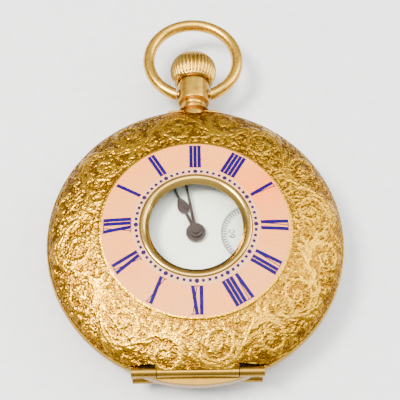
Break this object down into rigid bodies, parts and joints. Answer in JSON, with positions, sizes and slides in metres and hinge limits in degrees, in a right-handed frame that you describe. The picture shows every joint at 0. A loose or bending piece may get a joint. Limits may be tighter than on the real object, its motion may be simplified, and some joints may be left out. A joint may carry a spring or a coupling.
{
  "type": "fob watch",
  "caption": "Half-hunter pocket watch with engraved hinged lid, enamel chapter ring, bow and crown, and a working keyless lever movement.",
  "frame": {"origin": "centre of the flat disc that the back rests on", "axes": "+Z out of the dial, +Y towards the pendant and bow, -X towards XII"},
  "size_m": [0.0346, 0.0494, 0.009],
  "materials": {
    "gold_engraved": "engraved",
    "gold_polished": "polished",
    "gold_inner": "satin",
    "enamel_pink": "gloss",
    "enamel_blue": "gloss",
    "enamel_white": "gloss",
    "enamel_grey": "satin",
    "dial_print": "satin",
    "glass": "clear",
    "hand_steel": "dark polished",
    "steel": "polished",
    "blued_steel": "blued",
    "brass_gilt": "gilt",
    "nickel": "frosted",
    "ruby": "polished"
  },
  "bodies": {
    "case": {"case_middle": "gold_polished", "pendant": "gold_polished", "front_hinge_pin": "gold_polished", "bezel": "gold_polished", "crystal": "glass", "back_hinge_pin": "gold_polished", "cuvette_hinge_pin": "gold_polished", "lift_spring": "blued_steel", "case_screws": "blued_steel", "dial": "enamel_white", "dial_numerals": "dial_print", "dial_track": "dial_print", "seconds_dial": "enamel_grey", "seconds_track": "dial_print", "main_plate": "nickel", "barrel_bridge": "nickel", "train_bridge": "nickel", "balance_cock": "nickel", "pallet_cock": "nickel", "jewels": "ruby", "movement_screws": "blued_steel", "click_spring": "steel"},
    "lid": {"front_lid": "gold_engraved", "chapter_ring": "enamel_pink", "chapter_numerals": "enamel_blue", "chapter_track": "enamel_blue", "window_ring": "gold_polished", "lid_glass": "glass"},
    "back": {"back_cover": "gold_engraved"},
    "inner_cover": {"cuvette": "gold_inner"},
    "bow": {"bow": "gold_polished"},
    "sleeve": {"push_sleeve": "gold_polished"},
    "crown": {"crown": "gold_polished", "stem": "steel"},
    "lock": {"lock_spring": "blued_steel"},
    "lever": {"setting_lever": "steel"},
    "winder": {"winding_pinion": "steel"},
    "clutch": {"clutch_wheel": "steel"},
    "crown_wheel": {"crown_wheel": "steel"},
    "ratchet": {"ratchet_wheel": "steel", "barrel_arbor": "steel"},
    "click": {"click": "steel"},
    "barrel": {"mainspring_barrel": "brass_gilt", "mainspring": "blued_steel"},
    "centre": {"centre_wheel": "brass_gilt"},
    "third": {"third_wheel": "brass_gilt"},
    "fourth": {"fourth_wheel": "brass_gilt", "seconds_hand": "hand_steel"},
    "escape": {"escape_wheel": "brass_gilt"},
    "fork": {"pallet_fork": "steel"},
    "balance": {"balance_wheel": "brass_gilt", "balance_staff": "steel", "hairspring": "blued_steel"},
    "minute": {"cannon_pinion": "steel", "minute_hand": "hand_steel"},
    "minute_wheel": {"minute_wheel": "brass_gilt"},
    "hour": {"hour_wheel": "brass_gilt", "hour_hand": "hand_steel"}
  },
  "joints": [
    {"name": "lid_hinge", "type": "hinge", "parent": "case", "child": "lid", "pos_m": [0, -0.01595, 0.00586], "axis": [1, 0, 0], "range_deg": [0, 95]},
    {"name": "back_hinge", "type": "hinge", "parent": "case", "child": "back", "pos_m": [0, -0.01595, 0.0033], "axis": [-1, 0, 0], "range_deg": [0, 95]},
    {"name": "inner_cover_hinge", "type": "hinge", "parent": "case", "child": "inner_cover", "pos_m": [0, -0.01445, 0.00275], "axis": [-1, 0, 0], "range_deg": [0, 66.5]},
    {"name": "bow_swivel", "type": "hinge", "parent": "case", "child": "bow", "pos_m": [0, 0.0202, 0.00475], "axis": [1, 0, 0], "range_deg": [-85, 85]},
    {"name": "crown_slide", "type": "slide", "parent": "case", "child": "sleeve", "axis": [0, 1, 0], "range_m": [-0.00035, 0.0008]},
    {"name": "crown_turn", "type": "hinge", "parent": "sleeve", "child": "crown", "pos_m": [0, 0.024, 0.00475], "axis": [0, 1, 0], "continuous": true},
    {"name": "lock_spring_flex", "type": "hinge", "parent": "case", "child": "lock", "pos_m": [-0.01274, 0.00581, 0.0059], "axis": [0, 0, -1], "range_deg": [0, 2.5], "stiffness_Nm_per_rad": 0.02},
    {"name": "setting_lever_turn", "type": "hinge", "parent": "case", "child": "lever", "pos_m": [-0.0022, 0.01175, 0.0054], "axis": [0, 0, 1], "range_deg": [-9.12, 20.84]},
    {"name": "winding_pinion_turn", "type": "hinge", "parent": "case", "child": "winder", "pos_m": [0, 0.0105, 0.00475], "axis": [0, 1, 0], "continuous": true},
    {"name": "clutch_turn", "type": "hinge", "parent": "case", "child": "clutch", "pos_m": [0, 0.009, 0.00475], "axis": [0, 1, 0], "continuous": true},
    {"name": "crown_wheel_turn", "type": "hinge", "parent": "case", "child": "crown_wheel", "pos_m": [0, 0.0087, 0.0014], "axis": [0, 0, 1], "continuous": true},
    {"name": "ratchet_turn", "type": "hinge", "parent": "case", "child": "ratchet", "pos_m": [-0.0042, 0.0032, 0.0014], "axis": [0, 0, 1], "continuous": true},
    {"name": "click_lift", "type": "hinge", "parent": "case", "child": "click", "pos_m": [-0.00941, 0.00077, 0.0014], "axis": [0, 0, 1], "range_deg": [0, 8], "stiffness_Nm_per_rad": 0.0001},
    {"name": "seconds_turn", "type": "hinge", "parent": "case", "child": "fourth", "pos_m": [0.0066, 0, 0.0028], "axis": [0, 0, 1], "continuous": true},
    {"name": "third_turn", "type": "hinge", "parent": "case", "child": "third", "pos_m": [0.00414, 0.00347, 0.00245], "axis": [0, 0, 1], "continuous": true},
    {"name": "centre_turn", "type": "hinge", "parent": "case", "child": "centre", "pos_m": [0, 0, 0.0035], "axis": [0, 0, 1], "continuous": true},
    {"name": "barrel_turn", "type": "hinge", "parent": "case", "child": "barrel", "pos_m": [-0.0042, 0.0032, 0.0031], "axis": [0, 0, 1], "continuous": true},
    {"name": "escape_turn", "type": "hinge", "parent": "case", "child": "escape", "pos_m": [0.0045, -0.00276, 0.0032], "axis": [0, 0, 1], "continuous": true},
    {"name": "fork_swing", "type": "hinge", "parent": "case", "child": "fork", "pos_m": [0.00308, -0.00463, 0.0032], "axis": [0, 0, 1], "range_deg": [-4, 4]},
    {"name": "balance_swing", "type": "hinge", "parent": "case", "child": "balance", "pos_m": [0.0012, -0.0071, 0.00265], "axis": [0, 0, 1], "range_deg": [-220, 220], "stiffness_Nm_per_rad": 0.00000012},
    {"name": "minute_turn", "type": "hinge", "parent": "case", "child": "minute", "pos_m": [0, 0, 0.0069], "axis": [0, 0, 1], "continuous": true},
    {"name": "minute_wheel_turn", "type": "hinge", "parent": "case", "child": "minute_wheel", "pos_m": [-0.00197, -0.00138, 0.00545], "axis": [0, 0, 1], "continuous": true},
    {"name": "hour_turn", "type": "hinge", "parent": "case", "child": "hour", "pos_m": [0, 0, 0.0065], "axis": [0, 0, 1], "continuous": true}
  ],
  "couplings": [
    {"joint": "inner_cover_hinge", "follows": "back_hinge", "ratio": 0.7},
    {"joint": "setting_lever_turn", "follows": "crown_slide", "rad_per_m": 454.55},
    {"joint": "winding_pinion_turn", "follows": "crown_turn", "ratio": 1},
    {"joint": "clutch_turn", "follows": "crown_turn", "ratio": 1},
    {"joint": "crown_wheel_turn", "follows": "crown_turn", "ratio": 0.5},
    {"joint": "ratchet_turn", "follows": "crown_turn", "ratio": -0.20339},
    {"joint": "third_turn", "follows": "seconds_turn", "ratio": -0.13333},
    {"joint": "centre_turn", "follows": "seconds_turn", "ratio": 0.016667},
    {"joint": "barrel_turn", "follows": "seconds_turn", "ratio": -0.0027778},
    {"joint": "escape_turn", "follows": "seconds_turn", "ratio": -10},
    {"joint": "minute_turn", "follows": "seconds_turn", "ratio": 0.016667},
    {"joint": "minute_wheel_turn", "follows": "seconds_turn", "ratio": -0.0055556},
    {"joint": "hour_turn", "follows": "seconds_turn", "ratio": 0.0013889}
  ]
}
